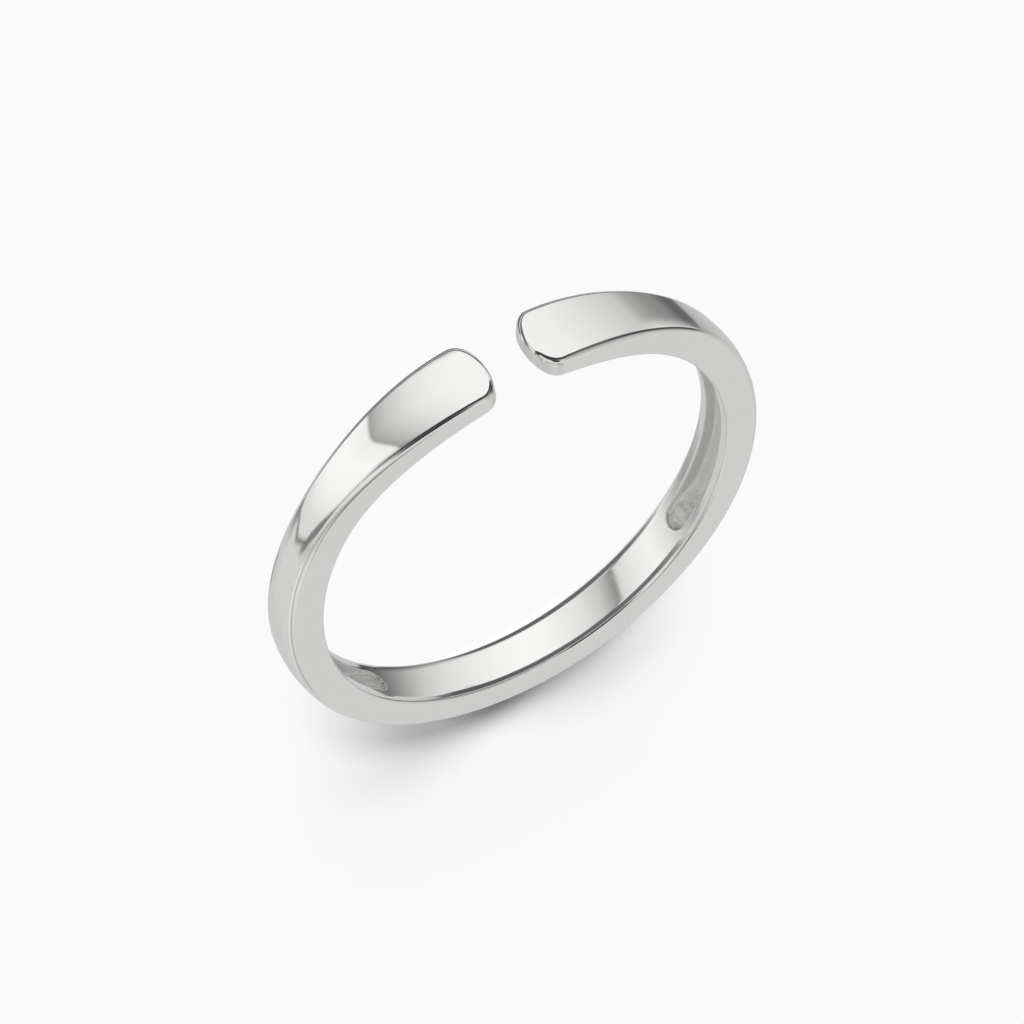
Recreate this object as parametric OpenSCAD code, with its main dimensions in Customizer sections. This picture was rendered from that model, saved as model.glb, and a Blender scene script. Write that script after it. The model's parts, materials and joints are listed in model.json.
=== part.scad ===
// Open cuff ring: a crowned band, cut open at the front between two flared, flat tips.
// The ring lies on its side. Its axis is along Z, the back is at +Y and the gap faces -Y.
// Angles along the band are counted from the back, the same way on both arms.

/* [Finger hole and gap] */
// Inner diameter of the ring
inner_d = 17; // [15:0.25:21]
// Width of the gap between the tips, across the inner wall
gap_w = 1.6; // [0.8:0.1:4]

/* [Width of the band, across the finger] */
// Width at the middle of the back
back_w = 1.95; // [1.6:0.05:3]
// Width at the shoulders
shoulder_w = 2.05; // [1.6:0.05:3]
// Width at the waist, where the paddle starts
waist_w = 1.75; // [1.5:0.05:2.6]
// Width of the paddle at its widest
paddle_w = 2.8; // [2.4:0.05:4]

/* [Thickness of the band] */
// Thickness at the middle of the back
back_t = 1.33; // [1.1:0.01:2]
// Thickness at the shoulders, where it is greatest
shoulder_t = 1.5; // [1.2:0.01:2.2]
// Thickness at the ends of the tips
tip_t = 0.76; // [0.6:0.01:1.2]

/* [Places along each arm, from the back] */
// Angle at which the shoulder is widest
shoulder_at = 60; // [40:1:75]
// Angle at which the band is thickest
thickest_at = 105; // [90:1:115]
// Angle of the waist
waist_at = 118; // [110:1:125]

/* [Edges and tips] */
// Rounding of the outer edges along the paddles
paddle_edge_r = 0.2; // [0.1:0.01:0.3]
// Rounding of the outer edges along the shank
shank_edge_r = 0.32; // [0.15:0.01:0.45]
// Height of the crown across the shank
shank_crown = 0.1; // [0.02:0.01:0.2]
// Height of the crown across the paddles
paddle_crown = 0.02; // [0:0.01:0.06]
// Easing of the inner edges
inner_edge = 0.12; // [0.05:0.01:0.2]
// Length of the rounded end of a tip
tip_round = 0.86; // [0.3:0.01:1]
// Fullness of the rounded end: 2 is an ellipse, more is squarer
tip_fullness = 2.2; // [2:0.1:4]

/* [Relief channels in the inner wall] */
// Width of a channel
channel_w = 1.1; // [0.6:0.05:1.2]
// Depth of a channel
channel_d = 0.5; // [0.2:0.05:0.6]
// Angle at which the channel in the right arm, on the +X side, starts
right_channel_from = 46; // [30:1:70]
// Angle at which the channel in the left arm, on the -X side, starts
left_channel_from = 53; // [30:1:70]
// Angle at which both channels end
channel_to = 146; // [110:1:155]

/* [Hidden] */

inner_r = inner_d / 2;
mid_z = paddle_w / 2;
tip_at = 180 - asin(gap_w / 2 / inner_r);
tip_r = inner_r + tip_t;
// The thinning towards the tips starts slowly: its share of the way is raised to this power
thin_power = 1.65;
// Over this many degrees past the waist the shank's edges and crown change to the paddle's
edge_from = waist_at - 18;
edge_to = waist_at + 14;

// Stations along an arm, points round an edge, and points across the crown
arm_steps = 36;
end_steps = 6;
edge_steps = 3;
crown_steps = 4;
// The last section stands just short of the point at which the rounded end would close
end_sweep = 84;
// The finger hole's wall is a true cylinder on two rails that stand this far out of the blank
hoop_proud = 0.02;
hoop_root = 0.2;
// Before the channels are cut, a rail runs this far past their walls
rail_lap = 0.1;
cut_through = 1;

function ease(x) = let (k = min(1, max(0, x))) k * k * (3 - 2 * k);
function mix(a, b, share) = a + (b - a) * share;
function between(a, from, to) = ease((a - from) / (to - from));

function band_w(a) =
    a < shoulder_at ? mix(back_w, shoulder_w, between(a, 0, shoulder_at)) :
    a < waist_at ? mix(shoulder_w, waist_w, between(a, shoulder_at, waist_at)) :
    mix(waist_w, paddle_w, between(a, waist_at, round_at));
function band_t(a) =
    a < thickest_at ? mix(back_t, shoulder_t, between(a, 0, thickest_at)) :
    mix(shoulder_t, tip_t, pow(min(1, (a - thickest_at) / (tip_at - thickest_at)), thin_power));
function edge_r(a) = mix(shank_edge_r, paddle_edge_r, between(a, edge_from, edge_to));
function crown(a) = mix(shank_crown, paddle_crown, between(a, edge_from, edge_to));

// The rounded end, as distance from the start of the rounding
tip_round_deg = tip_round / tip_r * 180 / PI;
round_at = tip_at - tip_round_deg;
function end_share(a) = max(0, (a - round_at) / tip_round_deg);
function end_taper(a) = pow(1 - pow(end_share(a), tip_fullness), 1 / tip_fullness);
// How far the edge round the end brings a face down, within one edge radius of the end
function end_drop(a, r) =
    let (left = (tip_at - a) * PI / 180 * tip_r, in = max(0, r - left)) r - sqrt(r * r - in * in);

// One section as [distance out from the finger hole's wall, height over the mid-plane], from
// the inner wall's lower edge along the lower side, over the outer face and back to the inner wall
function half_section(a) =
    let (
        half = band_w(a) / 2 * end_taper(a),
        r = min(edge_r(a), half * 0.8),
        top = band_t(a) - end_drop(a, r),
        rise = crown(a) * pow(end_taper(a), 2),
        shoulder = top - rise - r,
        inner = min(inner_edge, half / 2),
        inner_start = end_drop(a, inner) + hoop_proud
    )
    concat(
        [[inner_start, half - inner], [inner_start + inner, half]],
        [for (k = [0 : edge_steps]) let (t = 90 * k / edge_steps)
            [shoulder + r * sin(t), half - r + r * cos(t)]],
        [for (k = [1 : crown_steps / 2]) let (s = 1 - 2 * k / crown_steps)
            [top - rise * s * s, (half - r) * s]]
    );
function section(a) =
    let (upper = half_section(a), last = len(upper) - 1)
    concat(
        [for (k = [0 : last]) [upper[k][0], -upper[k][1]]],
        [for (k = [last - 1 : -1 : 0]) upper[k]]
    );

arm_angles = concat(
    [for (k = [1 : arm_steps]) round_at * k / arm_steps],
    [for (k = [1 : end_steps]) mix(round_at, tip_at, sin(end_sweep * k / end_steps))]
);
arm_last = len(arm_angles) - 1;
stations = concat(
    [for (k = [arm_last : -1 : 0]) -arm_angles[k]],
    [0],
    arm_angles
);

// The rails keep clear of the eased edges and stop between two stations before the rounded ends
hoop_w = min(back_w, waist_w) - 2 * inner_edge - 2 * hoop_proud;
rail_w = (hoop_w - channel_w) / 2 + rail_lap;
hoop_to = round_at * (1 - 0.6 / arm_steps);
// A channel's round end is this much narrower on each side than its walls, and this much deeper
end_step = 0.02;
// Its cylinder's seam is turned this far round, clear of the corners where it meets the walls
end_turn = 70;

// The ring's box runs from the back to the front of the paddles, and its middle is at the origin
back_y = inner_r + back_t;
front_y = max([for (a = arm_angles)
    -(inner_r + band_t(a) - end_drop(a, edge_r(a))) * cos(a)]);
axis_y = (front_y - back_y) / 2;

module band_blank() {
    rings = [for (s = stations) [for (p = section(abs(s)))
        [(inner_r + p[0]) * sin(s), (inner_r + p[0]) * cos(s), p[1]]]];
    n = len(rings[0]);
    last = len(rings) - 1;
    polyhedron(
        points = [for (ring = rings) each ring],
        faces = concat(
            [[for (k = [0 : n - 1]) k]],
            [for (i = [0 : last - 1]) for (k = [0 : n - 1]) let (m = (k + 1) % n)
                each [
                    [i * n + k, (i + 1) * n + k, (i + 1) * n + m],
                    [i * n + k, (i + 1) * n + m, i * n + m]
                ]],
            [[for (k = [n - 1 : -1 : 0]) last * n + k]]
        ),
        convexity = 6
    );
}

module finger_wall() {
    for (low = [-hoop_w / 2, hoop_w / 2 - rail_w])
        translate([0, 0, low])
            rotate_extrude(start = 90 - hoop_to, angle = 2 * hoop_to, $fn = 180)
                translate([inner_r, 0]) square([hoop_root, rail_w]);
}

// A channel has square walls and round ends, and runs along one arm
module channel(start, sweep) {
    reach = cut_through + channel_d;
    rotate_extrude(start = start, angle = sweep, $fn = 180)
        translate([inner_r - cut_through, -channel_w / 2]) square([reach, channel_w]);
    for (end = [start, start + sweep])
        rotate([0, 0, end]) translate([inner_r - cut_through - end_step, 0, 0])
            rotate([0, 90, 0]) rotate([0, 0, end_turn])
                cylinder(d = channel_w - 2 * end_step, h = reach + 2 * end_step, $fn = 48);
}

module ring_band() {
    color("silver")
        translate([0, axis_y, mid_z])
            difference() {
                union() {
                    band_blank();
                    finger_wall();
                }
                channel(90 - channel_to, channel_to - right_channel_from);
                channel(90 + left_channel_from, channel_to - left_channel_from);
            }
}

ring_band();
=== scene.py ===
# %% [markdown]
# # An open cuff ring in polished silver
# The ring is one piece of cast silver: a crowned band that flares into a flat paddle on either
# side of a gap. It lies on its side on a pale table. This notebook takes the ring's place, its
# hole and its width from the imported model, builds a finer skin for it, finishes the metal and
# lights it.

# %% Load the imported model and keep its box
import json
import math

import bmesh
import bpy
import numpy as np
from mathutils import Matrix, Vector, noise


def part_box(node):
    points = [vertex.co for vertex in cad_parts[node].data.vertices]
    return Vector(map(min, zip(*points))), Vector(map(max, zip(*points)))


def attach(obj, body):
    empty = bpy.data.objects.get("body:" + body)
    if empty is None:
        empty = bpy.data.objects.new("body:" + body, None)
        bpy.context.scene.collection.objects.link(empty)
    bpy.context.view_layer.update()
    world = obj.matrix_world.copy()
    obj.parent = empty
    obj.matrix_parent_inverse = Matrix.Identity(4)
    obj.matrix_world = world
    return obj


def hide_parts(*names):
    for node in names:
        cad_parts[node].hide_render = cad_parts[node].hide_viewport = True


MM = 0.001
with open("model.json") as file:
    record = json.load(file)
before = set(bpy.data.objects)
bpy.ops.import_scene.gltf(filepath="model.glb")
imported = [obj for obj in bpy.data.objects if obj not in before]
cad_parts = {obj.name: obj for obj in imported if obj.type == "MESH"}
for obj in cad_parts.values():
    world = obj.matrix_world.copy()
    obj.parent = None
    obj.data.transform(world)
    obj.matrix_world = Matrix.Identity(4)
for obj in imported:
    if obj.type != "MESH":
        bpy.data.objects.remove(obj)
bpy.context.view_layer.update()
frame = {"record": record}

# %% [markdown]
# ## The sizes of the band
# A jeweller describes a band by a few sizes: the finger hole, the width across the finger, the
# thickness, and how both change from the back to the tips. A mesh could be pulled into shape by
# hand instead, but then no size could be changed later, so every size has a name here. The hole
# and the paddle's width are read from the frame, so that the skin fits the solid. Lengths are in
# millimetres, and become metres when the mesh is made.

# %% Driving sizes, in millimetres and degrees from the middle of the back
hole = next(m for m in frame["record"]["mounts"] if m["name"] == "finger_hole")
lowest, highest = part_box("ring_band")
CENTRE = Vector(hole["pos_m"])
INNER_R = hole["dims"]["r_mm"]
PADDLE_W = (highest.z - lowest.z) / MM

BACK_W, SHOULDER_W, WAIST_W = 1.95, 2.05, 1.75
BACK_T, SHOULDER_T, TIP_T = 1.33, 1.50, 0.76
SHOULDER_AT, THICKEST_AT, WAIST_AT = 60, 105, 118
GAP_W = 1.6
THIN_POWER = 1.65
PADDLE_EDGE_R, SHANK_EDGE_R = 0.20, 0.32
PADDLE_CROWN, SHANK_CROWN = 0.02, 0.10
EDGE_FROM, EDGE_TO = WAIST_AT - 18, WAIST_AT + 14
INNER_EDGE = 0.12
TIP_ROUND, TIP_FULLNESS = 0.86, 2.2

TIP_R = INNER_R + TIP_T
TIP_AT = 180 - math.degrees(math.asin(GAP_W / 2 / INNER_R))
ROUND_AT = TIP_AT - math.degrees(TIP_ROUND / TIP_R)
print(f"hole {2 * INNER_R:.1f} mm, paddles {PADDLE_W:.2f} mm wide, tips at {TIP_AT:.1f} degrees")

# %% [markdown]
# ## How the band changes along its arms
# The width, the thickness, the rounding of the edges and the crown all change smoothly along a
# real band, as the wheel leaves them. They could come from a table of sections. Functions of the
# angle from the back are shorter, and an eased step has no kink at its ends. That matters on a
# mirror: a kink that can't be seen in the outline shows at once as a break in the reflection.

# %% The band's width, thickness, edges and crown at an angle
def ease(x):
    k = np.clip(x, 0, 1)
    return k * k * (3 - 2 * k)


def between(a, start, stop):
    return ease((a - start) / (stop - start))


def mix(a, b, share):
    return a + (b - a) * share


def band_w(a):
    shank = mix(BACK_W, SHOULDER_W, between(a, 0, SHOULDER_AT))
    arm = mix(SHOULDER_W, WAIST_W, between(a, SHOULDER_AT, WAIST_AT))
    paddle = mix(WAIST_W, PADDLE_W, between(a, WAIST_AT, ROUND_AT))
    return np.where(a < SHOULDER_AT, shank, np.where(a < WAIST_AT, arm, paddle))


def band_t(a):
    shank = mix(BACK_T, SHOULDER_T, between(a, 0, THICKEST_AT))
    share = np.clip((a - THICKEST_AT) / (TIP_AT - THICKEST_AT), 0, 1)
    return np.where(a < THICKEST_AT, shank, mix(SHOULDER_T, TIP_T, share ** THIN_POWER))


def edge_r(a):
    return mix(SHANK_EDGE_R, PADDLE_EDGE_R, between(a, EDGE_FROM, EDGE_TO))


def crown(a):
    return mix(SHANK_CROWN, PADDLE_CROWN, between(a, EDGE_FROM, EDGE_TO))


places = np.array([0, SHOULDER_AT, THICKEST_AT, WAIST_AT, TIP_AT])
print("at", places.round(), "width", band_w(places).round(2), "thickness", band_t(places).round(2))

# %% [markdown]
# ## The outline and its inset
# Seen flat, the band's side is one curve: along the arm, round the tip, and back. A bevel
# modifier could round its edges, but would pinch them at the tips. Here a rounded edge is that
# curve moved inwards and down, so every edge runs round the tip without a seam. The place along
# the band is kept as a length at the tip's radius.

# %% The side's outline from tip to tip, with the direction that points away from the band
ROW_DEG, END_ROWS = 0.5, 26
CHANNEL_W, CHANNEL_D = 1.10, 0.50
CHANNEL_FROM, CHANNEL_TO = {1: 46, -1: 53}, 146
CHANNEL_END_ROWS, CLEAR_OF_END_ROWS = 12, 0.06
DIGITS = 9


def channel_end_angles():
    """Extra rows where a channel's round ends turn, closer together towards the very end."""
    turn = np.radians(np.linspace(0, 90, CHANNEL_END_ROWS + 1))
    reach = np.degrees(CHANNEL_W / 2 * np.sin(turn) / INNER_R)
    return np.concatenate([CHANNEL_FROM[1] - reach, CHANNEL_FROM[-1] - reach, CHANNEL_TO + reach])


def side_outline():
    extra = channel_end_angles()
    plain = np.arange(0, ROUND_AT - ROW_DEG / 2, ROW_DEG)
    plain = plain[np.min(np.abs(plain[:, None] - extra[None]), axis=1) > CLEAR_OF_END_ROWS]
    angle = np.unique(np.round(np.concatenate([plain, extra]), DIGITS))
    arc, half = np.radians(angle) * TIP_R, band_w(angle) / 2
    turn = np.radians(np.linspace(0, 90, END_ROWS + 1))
    power = 2 / TIP_FULLNESS
    along = np.radians(ROUND_AT) * TIP_R + TIP_ROUND * np.sin(turn) ** power
    across = PADDLE_W / 2 * np.cos(turn) ** power
    x, z = np.concatenate([arc, along]), np.concatenate([half, across])
    nx = np.concatenate([-np.gradient(half, arc), np.sin(turn) ** (2 - power) / TIP_ROUND])
    nz = np.concatenate([np.ones_like(arc), np.cos(turn) ** (2 - power) / (PADDLE_W / 2)])
    size = np.hypot(nx, nz)
    nx, nz = nx / size, nz / size
    nx[0] = z[-1] = nz[-1] = 0
    signed = ((-1, x), (1, z), (-1, nx), (1, nz))
    return [np.concatenate([sign * values[:0:-1], values]) for sign, values in signed]


def place(x, z, p):
    """Points in metres from a length along the band, a height over the mid-plane and a depth
    outwards from the finger hole's wall, all in millimetres."""
    a = x / TIP_R
    points = np.stack([(INNER_R + p) * np.sin(a), (INNER_R + p) * np.cos(a), z], axis=-1)
    return points * MM + np.array(CENTRE)


out_x, out_z, out_nx, out_nz = side_outline()
print("rows along the band:", len(out_x))

# %% [markdown]
# ## A section of the band
# A section of the ring goes from the middle of the outer face over the crown, a rounded edge,
# the flat side and an eased inner edge to the finger wall. One profile could be swept along a
# curve, but this band's profile changes all the way, so each column of points is worked out for
# all sections at once. The rounded edge starts at the slope that the crown has there, so that
# the reflection runs over it. Narrow rows on the side keep it flat when normals are smoothed.

# %% The upper half of every section, as columns of points
FACE_COLS, EDGE_COLS, INNER_COLS, WALL_COLS = 9, 10, 5, 4
HOLD = 0.02


def degrees_along(x):
    return np.abs(np.degrees(x / TIP_R))


def section_columns():
    a = degrees_along(out_x)
    radius = edge_r(a)
    half = band_w(a) / 2
    rise = crown(a)
    start = np.arctan(2 * rise / (half - radius))
    inset = radius * (1 - np.sin(start))
    flat_half = half - inset

    def face_p(x, z):
        return band_t(degrees_along(x)) - rise * (z / flat_half) ** 2

    def inwards(q):
        return out_x - q * out_nx, np.maximum(out_z - q * out_nz, 0)

    columns = []
    edge_x, edge_z = inwards(inset)
    for share in np.sin(np.radians(90) * np.linspace(0, 1, FACE_COLS)):
        columns.append((edge_x, edge_z * share, face_p(edge_x, edge_z * share), "polished"))
    top = columns[-1][2]
    for k in range(1, EDGE_COLS + 1):
        turn = mix(start, math.radians(90), k / EDGE_COLS)
        q = radius * (1 - np.sin(turn))
        p = top - radius * (np.cos(start) - np.cos(turn))
        columns.append((*inwards(q), p, "polished"))
    side_top = columns[-1][2]
    side_foot = np.full_like(side_top, INNER_EDGE)
    for p in (side_top - HOLD, (side_top + side_foot) / 2, side_foot + HOLD):
        columns.append((out_x, out_z, p, "side"))
    for k in range(INNER_COLS + 1):
        turn = math.radians(90 + 90 * k / INNER_COLS)
        q = INNER_EDGE * (1 - math.sin(turn))
        p = side_foot * (1 + math.cos(turn))
        columns.append((*inwards(q), p, "side" if k == 0 else "polished"))
    return columns


upper = section_columns()
print("columns in half a section, without the finger wall:", len(upper))

# %% [markdown]
# ## The relief channels
# The inside of a cast ring is often hollowed a little to save metal. Here each arm has a slot
# with round ends, left as it came out of the mould. A boolean could cut it, but would leave long
# thin faces that spoil the polished wall round it. So the finger wall is split along the slot's
# rim, and the slot is a second strip of mesh: a soft rim, a wall, a rounded foot and a floor.
# It starts shallow and lumpy on the shoulder. The lumps are real, made by moving the points.

# %% The slot's rim along the finger wall
NO_WIDTH = 1e-6


def slot_start(x):
    return np.where(x > 0, CHANNEL_FROM[1], CHANNEL_FROM[-1])


def slot_half(x):
    """Half the slot's width at a place along the band, and 0 where there is no slot."""
    a = degrees_along(x)
    past = np.maximum(slot_start(x) - a, a - CHANNEL_TO)
    past = np.radians(np.maximum(past, 0)) * INNER_R
    half = CHANNEL_W / 2
    inside = np.maximum(half * half - past * past, 0)
    return np.where(inside < NO_WIDTH, 0, np.sqrt(inside))


wall_x, wall_z = upper[-1][0], upper[-1][1]
rim_z = np.minimum(slot_half(wall_x), wall_z)
for k in range(1, WALL_COLS + 1):
    upper.append((wall_x, mix(wall_z, rim_z, k / WALL_COLS), np.zeros_like(wall_x), "polished"))
print("rows that meet a slot:", int((rim_z > 0).sum()))

# %% The slot's strip: rim, wall, foot and floor
RIM_R, FOOT_R, DRAFT = 0.05, 0.20, 0.02
SLOT_EDGE_COLS, SLOT_FLOOR_COLS = 5, 7
BUMP_H, BUMP_SIZE, FINE_BUMPS, FINE_SHARE = 0.035, 0.20, 2.3, 0.5
# How much of the lumps the rim and the wall have
RIM_LUMPS, WALL_LUMPS = 0.2, 0.8
# The noise is seeded, so that every run makes the same lumps
LUMP_SEED = 1
noise.seed_set(LUMP_SEED)
# Over END_DEG degrees a slot goes from END_DEPTH of its depth to all of it, and its lumps go
# down to CALM of their height
END_DEG, END_DEPTH, CALM = 10, 0.3, 0.08
TINY = 1e-9


def as_cast(points, share):
    """Moves points by a slow and a fast noise, fully where share is 1."""
    moved = points.copy()
    for i, (point, amount) in enumerate(zip(points, share)):
        if amount > 0:
            at = Vector(point) / MM / BUMP_SIZE
            push = noise.noise_vector(at) + FINE_SHARE * noise.noise_vector(at * FINE_BUMPS)
            moved[i] += np.array(push) * BUMP_H * MM * amount
    return moved


def slot_profile():
    """Distance in from the rim, depth and share of the lumps, from the rim to the floor."""
    quarter = [math.radians(90 * k / SLOT_EDGE_COLS) for k in range(SLOT_EDGE_COLS + 1)]
    profile = []
    for k, turn in enumerate(quarter):
        rough = RIM_LUMPS * k / SLOT_EDGE_COLS
        profile.append((RIM_R * math.sin(turn), RIM_R * (1 - math.cos(turn)), rough))
    profile.append((RIM_R + DRAFT / 2, CHANNEL_D / 2, WALL_LUMPS))
    for turn in quarter:
        q = RIM_R + DRAFT + FOOT_R * (1 - math.cos(turn))
        profile.append((q, CHANNEL_D - FOOT_R * (1 - math.sin(turn)), 1.0))
    return profile


def slot_strip(rows):
    """Points of one slot's strip, one array for each column, over the rows given."""
    x, z = wall_x[rows], rim_z[rows]
    scale = INNER_R / TIP_R
    a = degrees_along(x)
    beyond = a - np.clip(a, slot_start(x), CHANNEL_TO)
    nx, nz = np.radians(beyond) * INNER_R * np.sign(x), z
    size = np.maximum(np.hypot(nx, nz), TINY)
    nx, nz = nx / size, nz / size
    in_from_end = between(a, slot_start(x), slot_start(x) + END_DEG)
    deep = mix(END_DEPTH, 1, in_from_end)
    lumpy = mix(1, CALM, in_from_end)
    columns = []
    for q, p, rough in slot_profile():
        columns.append((x - q * nx / scale, np.maximum(z - q * nz, 0), p * deep, rough * lumpy))
    floor_x, floor_z = columns[-1][0], columns[-1][1]
    for k in range(1, SLOT_FLOOR_COLS + 1):
        share = 1 - k / SLOT_FLOOR_COLS
        columns.append((floor_x, floor_z * share, CHANNEL_D * deep, lumpy))
    return columns


print("columns from a slot's rim to its floor:", len(slot_profile()))

# %% [markdown]
# ## Joining the skin
# The real ring has one surface, and so has the skin. Each strip is a grid of points, and a quad
# joins four neighbours. Blender has a grid tool of its own, but plain lists keep each face's
# finish beside it. The lower half is the upper one mirrored in the mid-plane. Points that fall
# together at the tips, along the middle and on the slots' rims are merged, which closes the mesh.

# %% Columns of points become faces
FINISHES = ("polished", "side", "cast")


class Skin:
    """Collects grids of points, with the finish of every face."""

    def __init__(self):
        self.points, self.faces, self.finish = [], [], []

    def grid(self, columns, finishes, flip=False):
        first = len(self.points)
        rows = len(columns[0])
        for column in columns:
            self.points.extend(map(tuple, column))
        for c in range(len(columns) - 1):
            for r in range(rows - 1):
                a = first + c * rows + r
                quad = (a, a + rows, a + rows + 1, a + 1)
                self.faces.append(quad[::-1] if flip else quad)
                self.finish.append(FINISHES.index(finishes[c]))


def mirrored(points):
    """The same points on the other side of the mid-plane."""
    return points * (1, 1, -1) + np.array([0, 0, 2 * CENTRE.z])


skin = Skin()
band = [place(x, z, p) for x, z, p, _ in upper]
finishes = [column[3] for column in upper[1:]]
skin.grid(band, finishes)
skin.grid([mirrored(column) for column in band], finishes, flip=True)

for side in (-1, 1):
    near = np.nonzero((rim_z > 0) & (np.sign(wall_x) == side))[0]
    rows = np.arange(near[0] - 1, near[-1] + 2)
    strip = [(place(x, z, p), rough) for x, z, p, rough in slot_strip(rows)]
    top_half = [as_cast(column, rough) for column, rough in strip]
    bottom_half = [as_cast(mirrored(column), rough) for column, rough in strip]
    whole = top_half + bottom_half[-2::-1]
    skin.grid(whole, ["cast"] * (len(whole) - 1))
print("points before merging:", len(skin.points), "faces:", len(skin.faces))

# %% The ring's mesh
MERGE = 1e-7


def add_object(name, data):
    added = bpy.data.objects.new(name, data)
    bpy.context.scene.collection.objects.link(added)
    return added


def make_ring():
    mesh = bpy.data.meshes.new("ring_band_skin")
    mesh.from_pydata(skin.points, [], skin.faces)
    mesh.polygons.foreach_set("material_index", skin.finish)
    mesh.polygons.foreach_set("use_smooth", [True] * len(skin.faces))
    bm = bmesh.new()
    bm.from_mesh(mesh)
    bmesh.ops.remove_doubles(bm, verts=bm.verts, dist=MERGE)
    bmesh.ops.dissolve_degenerate(bm, edges=bm.edges, dist=MERGE)
    bmesh.ops.recalc_face_normals(bm, faces=bm.faces)
    open_edges = sum(1 for edge in bm.edges if len(edge.link_faces) != 2)
    bm.to_mesh(mesh)
    bm.free()
    print("ring:", len(mesh.vertices), "points,", len(mesh.polygons), "faces, open edges:", open_edges)
    return add_object("ring_band_skin", mesh)


ring = make_ring()
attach(ring, "root")
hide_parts("ring_band")

# %% [markdown]
# ## Shader maths as expressions
# A material is a graph of nodes. Each Math node could be placed and linked by hand, at several
# lines apiece. Wrapping a socket in a small class lets Python's own operators build the graph
# instead, so `1 - mask * 0.5` adds its Math nodes by itself. Every other node comes from one
# method, which sets the node's options first and then its inputs.

# %% A socket that can be calculated with, and a graph that makes nodes
class Out:
    """One output of a node. Arithmetic on it adds Math nodes."""

    def __init__(self, graph, socket):
        self.graph, self.socket = graph, socket

    def _math(self, operation, *values):
        return self.graph.node("ShaderNodeMath", {"operation": operation}, dict(enumerate(values)))

    def __add__(self, other):
        return self._math("ADD", self, other)

    def __sub__(self, other):
        return self._math("SUBTRACT", self, other)

    def __rsub__(self, other):
        return self._math("SUBTRACT", other, self)

    def __mul__(self, other):
        return self._math("MULTIPLY", self, other)

    def __truediv__(self, other):
        return self._math("DIVIDE", self, other)

    __radd__, __rmul__ = __add__, __mul__

    def apply(self, operation, *others):
        """Any other operation of the Math node, such as SQRT."""
        return self._math(operation, self, *others)


class Graph:
    """The nodes of a material or of the world."""

    def __init__(self, tree):
        self.tree = tree
        tree.nodes.clear()

    def node(self, kind, settings=None, inputs=None, out=0):
        node = self.tree.nodes.new(kind)
        for name, value in (settings or {}).items():
            if name == "stops":
                self._stops(node.color_ramp, value)
            else:
                setattr(node, name, value)
        for key, value in (inputs or {}).items():
            if isinstance(value, Out):
                self.tree.links.new(value.socket, node.inputs[key])
            else:
                node.inputs[key].default_value = value
        return Out(self, node.outputs[out]) if len(node.outputs) else node

    @staticmethod
    def _stops(ramp, stops):
        while len(ramp.elements) < len(stops):
            ramp.elements.new(1.0)
        for element, (place_at, shade) in zip(ramp.elements, stops):
            element.position = place_at
            element.color = (shade, shade, shade, 1)


def graph_for(name):
    material = bpy.data.materials.new(name)
    material.use_nodes = True
    return material, Graph(material.node_tree)


# %% [markdown]
# ## Polished silver
# Silver reflects nearly all light, a little less in blue, which gives it its warm white. The
# outside and the finger wall are buffed to a mirror. One low roughness would do for a perfect
# mirror, but a real one has hairlines that run with the buffing wheel, and a very slight haze.
# A picture of scratches could give these. Noise drawn out along the band needs no picture, and
# it follows the ring round.

# %% Coordinates that follow the band, and noise on them
# A bump map's full height, and the roughness of a mirror and what haze and hairlines add to it
RELIEF = 0.02 * MM
MIRROR, HAZE, HAIRLINES = 0.012, 0.016, 0.008
SILVER = (0.955, 0.953, 0.944, 1)


def split(graph, vector):
    """The three parts of a vector."""
    first = graph.node("ShaderNodeSeparateXYZ", inputs={0: vector})
    return [Out(graph, socket) for socket in first.socket.node.outputs]


def from_axis(graph):
    """X, Y and Z in millimetres, where X and Y start at the ring's axis."""
    x, y, z = split(graph, graph.node("ShaderNodeTexCoord", out="Object"))
    return x / MM, (y - CENTRE.y) / MM, z / MM


def length_of(x, y):
    return (x * x + y * y).apply("SQRT")


def streaks(graph, along_scale, across_scale, detail):
    """Noise that is drawn out along the band."""
    x, y, z = from_axis(graph)
    drawn = graph.node("ShaderNodeCombineXYZ", inputs={
        "X": x.apply("ARCTAN2", y) * INNER_R * along_scale,
        "Y": z * across_scale,
        "Z": length_of(x, y) * across_scale,
    })
    return graph.node("ShaderNodeTexNoise", inputs={"Vector": drawn, "Scale": 1.0, "Detail": detail})


def speckle(graph, scale, detail, roughness=0.5):
    """Noise that is the same in all directions; the scale is for a metre."""
    return graph.node("ShaderNodeTexNoise", inputs={
        "Vector": graph.node("ShaderNodeTexCoord", out="Object"),
        "Scale": scale, "Detail": detail, "Roughness": roughness,
    })


def metal(graph, height, strength, **inputs):
    """A metal with a bump; the other inputs have the Principled shader's names, with _ for a space."""
    bump = graph.node("ShaderNodeBump", inputs={
        "Strength": strength, "Distance": RELIEF, "Height": height,
    })
    named = {name.replace("_", " "): value for name, value in inputs.items()}
    shader = graph.node("ShaderNodeBsdfPrincipled", inputs={"Metallic": 1.0, "Normal": bump, **named})
    graph.node("ShaderNodeOutputMaterial", inputs={"Surface": shader})


def polished_silver():
    material, graph = graph_for("polished silver")
    lines = streaks(graph, along_scale=0.35, across_scale=26.0, detail=3.0)
    haze = speckle(graph, scale=420.0, detail=2.0)
    roughness = MIRROR + haze * HAZE + lines * HAIRLINES
    metal(graph, lines, strength=0.02, Base_Color=SILVER, Roughness=roughness)
    return material


# %% [markdown]
# ## The flat sides and the cast slots
# The sides are ground flat on a fine wheel and only lightly buffed, so they are an even, soft
# grey with lines that follow the band. The slots can't be reached by a wheel. They keep the
# mould's skin: dull, slightly darker and grainy. Both could be the polished metal with more
# roughness, but each finish has marks of its own, so each is a material of its own.

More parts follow.
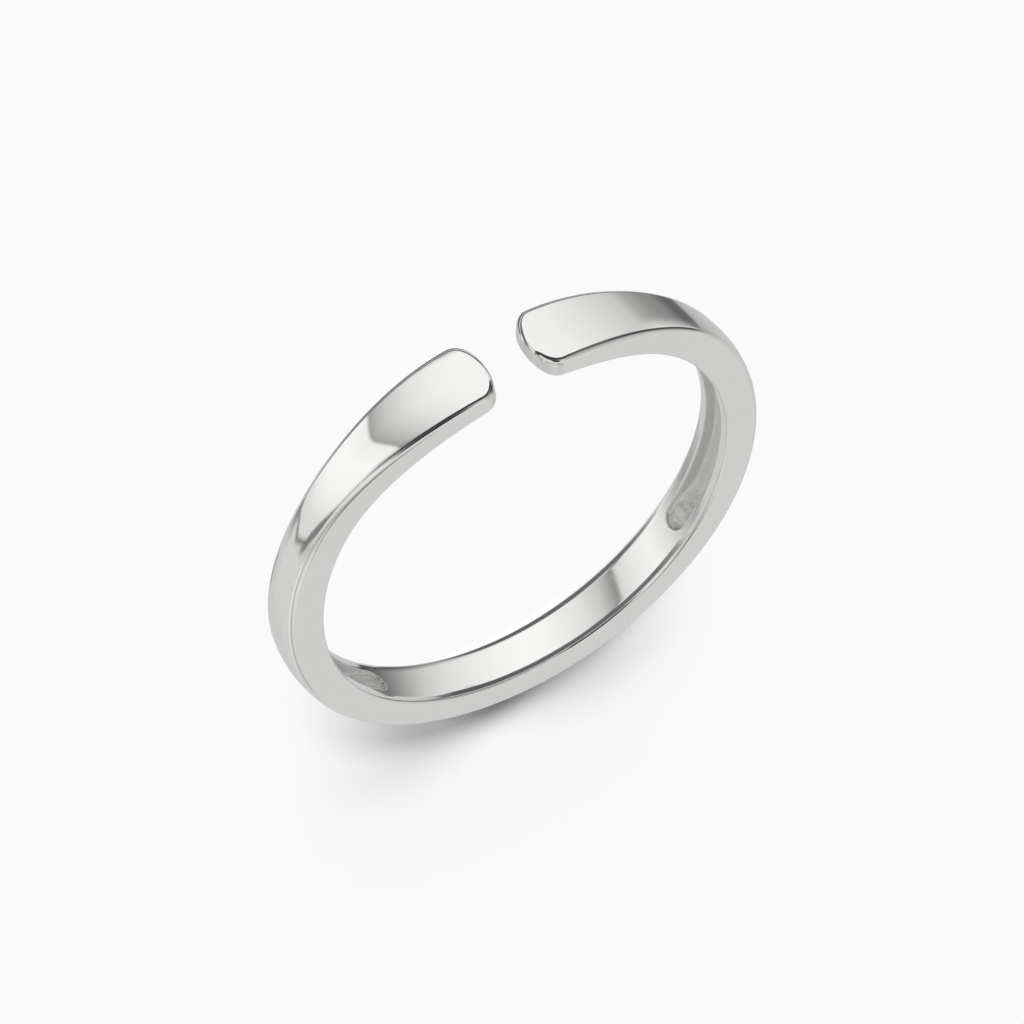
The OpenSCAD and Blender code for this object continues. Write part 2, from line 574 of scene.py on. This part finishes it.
# %% Materials of the sides and of the slots
SIDE_SILVER = (0.97, 0.968, 0.958, 1)
SIDE_ROUGH, SIDE_LINES = 0.34, 0.12
CAST_DARK, CAST_LIGHT = (0.80, 0.797, 0.788, 1), (0.97, 0.967, 0.958, 1)
CAST_ROUGH, CAST_GRAIN, PIT_SHARE = 0.34, 0.22, 0.6


def brushed_side():
    material, graph = graph_for("brushed silver side")
    lines = streaks(graph, along_scale=0.6, across_scale=55.0, detail=4.0)
    roughness = SIDE_ROUGH + lines * SIDE_LINES
    metal(graph, lines, strength=0.06, Base_Color=SIDE_SILVER, Roughness=roughness)
    return material


def as_cast_silver():
    material, graph = graph_for("as-cast silver")
    grain = speckle(graph, scale=9000.0, detail=5.0, roughness=0.6)
    pits = speckle(graph, scale=3200.0, detail=3.0)
    # Counted from 0, the Mix node's colour inputs are 6 and 7, and its colour output is 2
    shade = graph.node("ShaderNodeMix", {"data_type": "RGBA"}, {
        "Factor": pits, 6: CAST_DARK, 7: CAST_LIGHT,
    }, out=2)
    roughness = CAST_ROUGH + grain * CAST_GRAIN
    metal(graph, grain + pits * PIT_SHARE, strength=0.5, Base_Color=shade, Roughness=roughness)
    return material


for make in (polished_silver, brushed_side, as_cast_silver):
    ring.data.materials.append(make())
print("finishes:", [material.name for material in ring.data.materials])

# %% [markdown]
# ## The table
# A plain pale table fills the picture. Lit by lamps alone it would turn grey round the ring, and
# a photographer avoids that with a table that is lit from below. So the table glows, and stays
# an even near-white. Only the part behind the ring is solid: it takes the lamps' light instead
# of glowing, and so it shows the ring's shadow.

# %% The table under the ring
TABLE_SIZE = 1.6
BACKDROP, SOLID_TONE = 0.955, 0.90
# In millimetres from the ring's axis, where the solid part starts and ends
SOLID_FROM_R, SOLID_TO_R, SOLID_TO_X, SOLID_FROM_Y = (8.7, 9.6), (15, 24), (3, 9.5), (3, 7)
# Each lamp: azimuth from the front, height, size in metres, and its share of the table's light
LAMPS = ((0, 28, 0.20, 0.36), (41, 16.5, 0.22, 0.26), (-43, 16.5, 0.22, 0.20))
LAMP_LIGHT = sum(share for *_, share in LAMPS)


def smooth(graph, value, start, stop):
    """0 below start and 1 above stop, eased."""
    return graph.node("ShaderNodeMapRange", {"interpolation_type": "SMOOTHSTEP"}, {
        "Value": value, "From Min": start, "From Max": stop,
    })


def within(graph, value, rise, fall):
    """1 between a rise and a fall, which each have a start and a stop, and 0 outside them."""
    return smooth(graph, value, *rise) * (1 - smooth(graph, value, *fall))


def grey(graph, shade, green=1.0, blue=1.0):
    return graph.node("ShaderNodeCombineColor", inputs={0: shade, 1: shade * green, 2: shade * blue})


def glowing(graph, light, base=(0, 0, 0, 1)):
    """A surface without gloss that gives light, and has the base colour for lamps."""
    shader = graph.node("ShaderNodeBsdfPrincipled", inputs={
        "Base Color": base, "Emission Color": light,
        "Emission Strength": 1.0, "Roughness": 1.0, "Specular IOR Level": 0.0,
    })
    graph.node("ShaderNodeOutputMaterial", inputs={"Surface": shader})


def make_table():
    mesh = bpy.data.meshes.new("table")
    half = TABLE_SIZE / 2
    corners = [(-half, -half, 0), (half, -half, 0), (half, half, 0), (-half, half, 0)]
    mesh.from_pydata(corners, [], [(0, 1, 2, 3)])
    material, graph = graph_for("pale table")
    x, y, _ = from_axis(graph)
    solid = within(graph, length_of(x, y), SOLID_FROM_R, SOLID_TO_R)
    solid = solid * smooth(graph, y, *SOLID_FROM_Y)
    solid = solid * (1 - smooth(graph, x.apply("ABSOLUTE"), *SOLID_TO_X))
    glowing(graph, grey(graph, BACKDROP - solid * LAMP_LIGHT), grey(graph, solid * SOLID_TONE))
    mesh.materials.append(material)
    table = add_object("table", mesh)
    table.location.z = lowest.z
    table.visible_glossy = False
    return table


make_table()
print(f"the lamps give {LAMP_LIGHT / BACKDROP:.0%} of the light on the solid part")

# %% [markdown]
# ## The camera
# The photo was taken with a long lens, nearly without perspective, from a low angle and rolled.
# An orthographic camera would come close, but a long lens keeps the little perspective there
# is. The camera stands at the photo's angle to the ring. Its distance is a multiple of the
# ring's radius, and its focal length gives the ring its size in the picture.

# %% Camera at the photo's angle
AZIMUTH, ELEVATION, ROLL = (math.radians(a) for a in (20.279, 32.229, 142.284))
DISTANCE = 60 * INNER_R * MM
# The picture's width, the finger hole's radius and the place of its middle, in pixels
PIXELS, RING_PIXELS = 1024, 234.712
AIM = (513.42, 510.514)
SENSOR = 36.0


def make_camera():
    focal = RING_PIXELS * DISTANCE / (INNER_R * MM)
    back = Vector((
        math.sin(AZIMUTH) * math.cos(ELEVATION),
        -math.cos(AZIMUTH) * math.cos(ELEVATION),
        math.sin(ELEVATION),
    ))
    level = Vector((math.cos(AZIMUTH), math.sin(AZIMUTH), 0))
    over = back.cross(level)
    right = math.cos(ROLL) * level + math.sin(ROLL) * over
    up = -math.sin(ROLL) * level + math.cos(ROLL) * over
    aside = -(AIM[0] - PIXELS / 2) / focal
    above = (AIM[1] - PIXELS / 2) / focal
    data = bpy.data.cameras.new("photo camera")
    data.sensor_width = SENSOR
    data.lens = focal * SENSOR / PIXELS
    data.clip_start, data.clip_end = DISTANCE / 10, DISTANCE * 20
    camera = add_object("photo camera", data)
    stand = CENTRE + DISTANCE * (back + right * aside + up * above)
    turn = Matrix((right, up, back)).transposed().to_4x4()
    camera.matrix_world = Matrix.Translation(stand) @ turn
    bpy.context.scene.camera = camera
    print(f"lens {data.lens:.1f} mm, camera height {stand.z / MM:.0f} mm")
    return back


to_camera = make_camera()

# %% [markdown]
# ## The light
# What a mirror finish looks like is decided by what stands round it, so the studio is painted
# for the metal. Soft boxes could be set up one by one, but a mirror shows their gaps. Here the
# studio is closed and has two parts. The upper part is the world: a tent with a dark bar low at
# the front, where the camera's stand is, and the dark opening that the camera looks through.
# The lower part is a drum below the table. The metal looks past the table, which is hidden from
# its reflections, and sees the drum's cards: upper ones for the outer face, and deeper ones for
# the finger wall.

# %% The upper tent
# Each pair is a brightness and, before it, its azimuth in degrees: 0 is at the back, 90 at +X
TENT_LOW = (
    (0, 0.64), (12, 0.60), (36, 0.72), (60, 0.80), (72, 0.80), (82, 0.50), (92, 0.60), (108, 0.70),
    (128, 0.76), (138, 0.40), (146, 0.08), (168, 0.03), (205, 0.06), (214, 0.16), (226, 0.12),
    (240, 0.05), (280, 0.09), (287, 0.40), (300, 0.58), (345, 0.60), (360, 0.64),
)
TENT_HIGH = (
    (0, 0.62), (30, 0.66), (60, 0.74), (76, 0.50), (84, 0.36), (96, 0.50), (112, 0.78), (150, 0.82),
    (178, 0.70), (204, 0.58), (228, 0.42), (252, 0.50), (276, 0.56), (300, 0.61), (340, 0.66), (360, 0.62),
)
TENT_ZENITH = ((0, 0.20), (60, 0.24), (90, 0.55), (180, 0.72), (240, 0.66), (345, 0.66), (360, 0.20))
TOP = 0.64
# Heights in degrees over which each part goes over into the next
LOW_TO_HIGH, HIGH_TO_ZENITH, ZENITH_TO_TOP = (2, 30), (48, 62), (66, 78)
# The seam between two cloths: its brightness, and where it rises and falls by height and azimuth
SEAM, SEAM_HEIGHTS, SEAM_TURNS = 0.45, ((2, 12), (16, 26)), ((5, 15), (70, 85))
# The opening's half angle, the softness of its edge, and the share of the light that it takes
OPENING_DEG, OPENING_SOFT, OPENING_DARK = 21, 6, 0.96
# What the cloth leaves of green and of blue
CLOTH_TINT = (0.999, 0.995)


def soft_edge(graph, value, middle, soft):
    """0 well below the middle and 1 well above it."""
    return smooth(graph, value, middle - soft, middle + soft)


def by_azimuth(graph, turn, stops):
    """Brightness from a list of (degrees, brightness); turn is the azimuth as a share of 1."""
    shares = [(degrees / 360, shade) for degrees, shade in stops]
    ramp = graph.node("ShaderNodeValToRGB", {"stops": shares}, {"Fac": turn})
    return graph.node("ShaderNodeRGBToBW", inputs={0: ramp})


def azimuth_of(x, y):
    return (x.apply("ARCTAN2", y) / math.tau + 1).apply("FRACT")


def make_tent():
    world = bpy.data.worlds.new("light tent")
    bpy.context.scene.world = world
    world.use_nodes = True
    world.cycles_visibility.diffuse = False
    graph = Graph(world.node_tree)
    way = graph.node("ShaderNodeTexCoord", out="Generated")
    x, y, z = split(graph, way)
    turn = azimuth_of(x, y)
    height = z.apply("ARCSINE") * math.degrees(1)
    low, high, zenith = (by_azimuth(graph, turn, stops) for stops in (TENT_LOW, TENT_HIGH, TENT_ZENITH))
    shade = mix(low, high, smooth(graph, height, *LOW_TO_HIGH))
    shade = mix(shade, zenith, smooth(graph, height, *HIGH_TO_ZENITH))
    shade = mix(shade, TOP, smooth(graph, height, *ZENITH_TO_TOP))
    seam = within(graph, height, *SEAM_HEIGHTS) * within(graph, turn * 360, *SEAM_TURNS)
    shade = mix(shade, SEAM, seam)
    facing = graph.node("ShaderNodeVectorMath", {"operation": "DOT_PRODUCT"}, {
        0: way, 1: tuple(to_camera),
    }, out=1)
    off_axis = facing.apply("ARCCOSINE") * math.degrees(1)
    clear = soft_edge(graph, off_axis, OPENING_DEG, OPENING_SOFT)
    shade = shade * mix(1 - OPENING_DARK, 1, clear)
    shade = mix(shade, BACKDROP, graph.node("ShaderNodeLightPath", out="Is Camera Ray"))
    background = graph.node("ShaderNodeBackground", inputs={
        "Color": grey(graph, shade, *CLOTH_TINT), "Strength": 1.0,
    })
    graph.node("ShaderNodeOutputWorld", inputs={"Surface": background})
    print("nodes in the tent:", len(world.node_tree.nodes))


make_tent()

# %% [markdown]
# ## The cards below the table
# A photographer bounces light up from cards. Here they stand on a drum round the ring's axis. A
# mirror on the outer face looks down at its upper cards, and the far side of the finger wall
# looks across at the deeper ones. A light for each card could do it too, but one painted wall
# leaves no gaps. Heights on the upper part are slopes, height over distance, so that one number
# holds all round.

# %% The drum's cards, as pairs of an azimuth in degrees and a brightness
OUTER_CARDS = (
    (0, 0.60), (52, 0.60), (66, 0.65), (90, 0.66), (93, 0.62), (95.5, 0.20), (98, 0.70),
    (106, 0.73), (112, 0.84), (120, 0.95), (130, 0.98), (137, 0.91), (140.5, 0.90), (141.8, 0.36),
    (145, 0.47), (150, 0.60), (160, 0.80), (170, 0.90), (180, 0.94), (203, 0.89), (216, 0.79),
    (228, 0.68), (235, 0.59), (241, 0.40), (248, 0.30), (255, 0.25), (262, 0.13), (268, 0.15),
    (270.5, 0.44), (280, 0.54), (292, 0.59), (360, 0.60),
)
FRONT_BAR = (
    (0, 0.60), (92, 0.66), (98.5, 0.50), (104, 0.68), (130, 0.72), (136, 0.30), (143, 0.06), (205, 0.04),
    (216, 0.16), (232, 0.16), (252, 0.14), (260, 0.30), (268, 0.48), (280, 0.56), (360, 0.60),
)
LOWER_SHADE = (
    (0, 0.62), (84, 0.60), (98, 0.28), (116, 0.16), (260, 0.10), (276, 0.40), (300, 0.56), (360, 0.62),
)
INNER_CARDS = (
    (0, 0.58), (60, 0.36), (69, 0.42), (83, 0.58), (97, 0.79), (112, 0.93), (126, 0.86), (136, 0.76),
    (142, 0.70), (143.6, 0.24), (148, 0.36), (156, 0.58), (170, 0.77), (184, 0.87), (198, 0.96),
    (213, 0.97), (228, 0.91), (242, 0.85), (256, 0.75), (263, 0.68), (270, 0.60), (277, 0.47),
    (284, 0.34), (290, 0.24), (297, 0.16), (304, 0.09), (307.5, 0.08), (309, 0.55), (330, 0.60), (360, 0.58),
)

# %% How the cards' edges bend and how soft they are
# The upper cards' edges bend by these degrees at their top and foot, over these slopes
NEAR_BEND, NEAR_MORE, NEAR_SLOPES, NEAR_MORE_FROM = 3.0, 3.5, (-0.66, -0.40), (110, 130)
FAR_BEND, FAR_SLOPES, BENDS_END = 4.5, (-0.92, -0.64), (190, 220)
# A bright wedge at the top of the cards: its brightness, its slopes and its azimuths
WEDGE, WEDGE_SLOPES, WEDGE_TURNS = 0.45, (-0.575, -0.45), ((232, 246), (258, 272))
# The dark bar above the cards: the slope of its foot, and where the foot dips and lifts
BAR_FOOT, CARD_SOFT = -0.405, 0.02
BAR_DIP, DIP_TURNS, BAR_LIFT, LIFT_FROM = 0.035, ((118, 140), (150, 170)), 0.17, (222, 245)
# A thin line along the bar's foot
THIN_BAR, THIN_SLOPES, THIN_TURNS = 0.22, ((-0.45, -0.41), (-0.35, -0.31)), ((92, 98), (138, 148))
# The slope at which the cards end, and the heights at which the deeper ones start and end
SHADE_TOP, SHADE_SOFT = -0.88, 0.03
INNER_TOP, INNER_SOFT, INNER_STEP, STEP_ENDS = -12.9, 0.2, 2.4, (245, 285)
LAST_SHADE, LAST_SOFT = -20.8, 1
# The deeper cards lean by these degrees for each millimetre above this height
INNER_LEAN, INNER_MIDDLE = 5.0, -16.5


def outer_face_cards(graph, turn, degrees, slope):
    bending = 1 - smooth(graph, degrees, *BENDS_END)
    near_bend = smooth(graph, degrees, *NEAR_MORE_FROM) * NEAR_MORE + NEAR_BEND
    near = smooth(graph, slope, *NEAR_SLOPES) * bending * near_bend
    far = (1 - smooth(graph, slope, *FAR_SLOPES)) * bending * FAR_BEND
    shade = by_azimuth(graph, turn - (near + far) / 360, OUTER_CARDS)
    wedge = smooth(graph, slope, *WEDGE_SLOPES) * within(graph, degrees, *WEDGE_TURNS)
    shade = shade + wedge * WEDGE
    bar = by_azimuth(graph, turn, FRONT_BAR)
    dip = within(graph, degrees, *DIP_TURNS) * BAR_DIP
    dip = dip - smooth(graph, degrees, *LIFT_FROM) * BAR_LIFT
    shade = mix(shade, bar, soft_edge(graph, slope + dip, BAR_FOOT, CARD_SOFT))
    thin = within(graph, slope, *THIN_SLOPES) * within(graph, degrees, *THIN_TURNS)
    return mix(shade, THIN_BAR, thin)


def finger_wall_cards(graph, turn, z, below):
    leaning = turn - (z - INNER_MIDDLE) * (INNER_LEAN / 360)
    shade = by_azimuth(graph, leaning, INNER_CARDS)
    return mix(below, shade, soft_edge(graph, z, LAST_SHADE, LAST_SOFT))


# %% The drum
DRUM_R, DRUM_TOP, DRUM_FOOT, DRUM_STEPS = 20.0, -1.75, -34.0, 128
# From the outer face to the drum along a reflection: NEAREST millimetres at the azimuth
# NEAREST_DEG, and SPREAD more for each squared degree away from it
NEAREST_DEG, NEAREST, SPREAD = 163, 10.45, 3.1e-4


def drum_mesh():
    turns = [math.tau * k / DRUM_STEPS for k in range(DRUM_STEPS)]
    points = []
    for z in (DRUM_TOP, DRUM_FOOT):
        points += [(DRUM_R * MM * math.sin(t), DRUM_R * MM * math.cos(t), z * MM) for t in turns]
    faces = [tuple(range(DRUM_STEPS, 2 * DRUM_STEPS))]
    for k in range(DRUM_STEPS):
        n = (k + 1) % DRUM_STEPS
        faces.append((k, n, DRUM_STEPS + n, DRUM_STEPS + k))
    mesh = bpy.data.meshes.new("drum")
    mesh.from_pydata(points, [], faces)
    return mesh


def make_drum():
    material, graph = graph_for("drum cards")
    x, y, z = split(graph, graph.node("ShaderNodeTexCoord", out="Object"))
    z = z / MM
    turn = azimuth_of(x, y)
    degrees = turn * 360
    off = degrees - NEAREST_DEG
    slope = z / (off * off * SPREAD + NEAREST)
    lower = by_azimuth(graph, turn, LOWER_SHADE)
    outer = outer_face_cards(graph, turn, degrees, slope)
    outer = mix(lower, outer, soft_edge(graph, slope, SHADE_TOP, SHADE_SOFT))
    inner = finger_wall_cards(graph, turn, z, lower)
    step = (1 - smooth(graph, degrees, *STEP_ENDS)) * INNER_STEP
    shade = mix(inner, outer, soft_edge(graph, z + step, INNER_TOP, INNER_SOFT))
    # The cards glow: they are painted light, which only the metal's reflections see
    glowing(graph, grey(graph, shade, *CLOTH_TINT))
    mesh = drum_mesh()
    mesh.materials.append(material)
    drum = add_object("drum", mesh)
    drum.location = CENTRE
    drum.visible_camera = drum.visible_diffuse = drum.visible_shadow = False
    print("nodes in the drum's cards:", len(material.node_tree.nodes))
    return drum


make_drum()

# %% [markdown]
# ## The shadow
# The ring in the photo has a short dark shadow with two softer wings. One large lamp would blur
# them into one, and a painted shadow would be wrong from other sides. So three soft lamps stand
# low in front of the ring, one ahead and one on either side, and throw it on the solid part of
# the table. A lamp's power follows from its share of the table's light. The metal doesn't see
# the lamps.

# %% The lamps that throw the shadow
LAMP_DISTANCE = 1.2


def make_lamp(azimuth, height, size, share):
    turn, rise = math.radians(azimuth), math.radians(height)
    data = bpy.data.lights.new("front lamp", "AREA")
    data.shape, data.size = "DISK", size
    data.energy = share * (math.pi * LAMP_DISTANCE) ** 2 / (SOLID_TONE * math.sin(rise))
    way = Vector((math.sin(turn) * math.cos(rise), -math.cos(turn) * math.cos(rise), math.sin(rise)))
    lamp = add_object("front lamp", data)
    lamp.location = CENTRE + way * LAMP_DISTANCE
    lamp.rotation_euler = way.to_track_quat("Z", "Y").to_euler()
    lamp.visible_glossy = False
    print(f"lamp at {azimuth} degrees: {data.energy:.1f} W")


for lamp in LAMPS:
    make_lamp(*lamp)

# %% [markdown]
# ## Colours as they are
# A picture can be graded to look like film, but the photo's background is a plain near-white.
# The standard transform keeps the table's tone and the silver's greys as they were set.

# %% The view transform
bpy.context.scene.view_settings.view_transform = "Standard"
bpy.context.scene.view_settings.look = "None"
